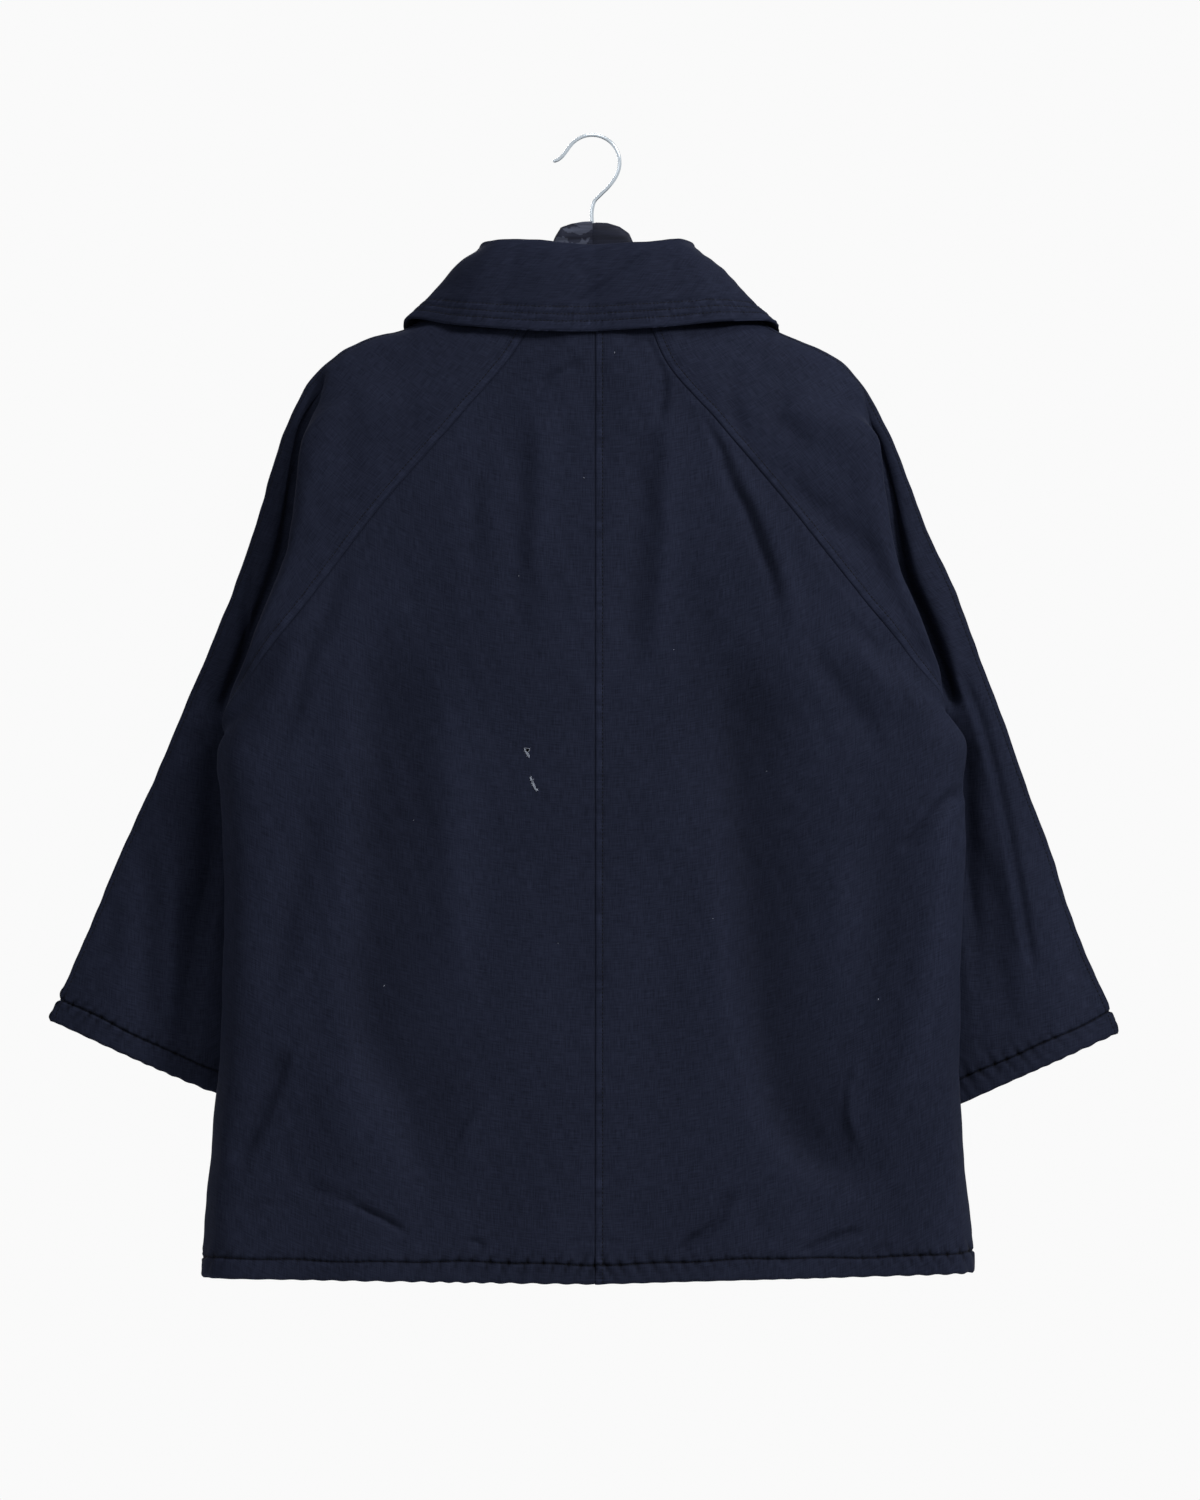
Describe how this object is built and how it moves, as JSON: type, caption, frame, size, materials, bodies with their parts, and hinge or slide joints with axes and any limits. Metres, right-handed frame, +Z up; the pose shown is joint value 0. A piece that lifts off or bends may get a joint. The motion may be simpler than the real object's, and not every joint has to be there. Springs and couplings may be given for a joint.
{
  "type": "coat on a hanger",
  "caption": "Hip-length raglan coat with a wide folded collar and a buttoned front, hung flat on a wooden hanger with a wire hook.",
  "frame": {"origin": "inner top of the hanger hook's bend, where a rail carries it", "axes": "+Z up, +Y out of the coat's front, +X towards the wearer's right; the back faces -Y"},
  "size_m": [0.883, 0.1166, 0.9411],
  "materials": {
    "outer_cloth": "matt dark navy plain weave",
    "collar_cloth": "matt dark navy plain weave",
    "button_resin": "satin navy",
    "hanger_wood": "satin black stain",
    "hook_steel": "polished wire"
  },
  "bodies": {
    "root": {"back_left": "outer_cloth", "back_right": "outer_cloth", "front_left": "outer_cloth", "front_right": "outer_cloth", "sleeve_left_back": "outer_cloth", "sleeve_left_front": "outer_cloth", "sleeve_right_back": "outer_cloth", "sleeve_right_front": "outer_cloth", "collar": "collar_cloth", "button_1": "button_resin", "button_2": "button_resin", "button_3": "button_resin", "button_4": "button_resin", "button_5": "button_resin", "hanger_left": "hanger_wood", "hanger_right": "hanger_wood", "hanger_hook": "hook_steel"}
  },
  "joints": []
}
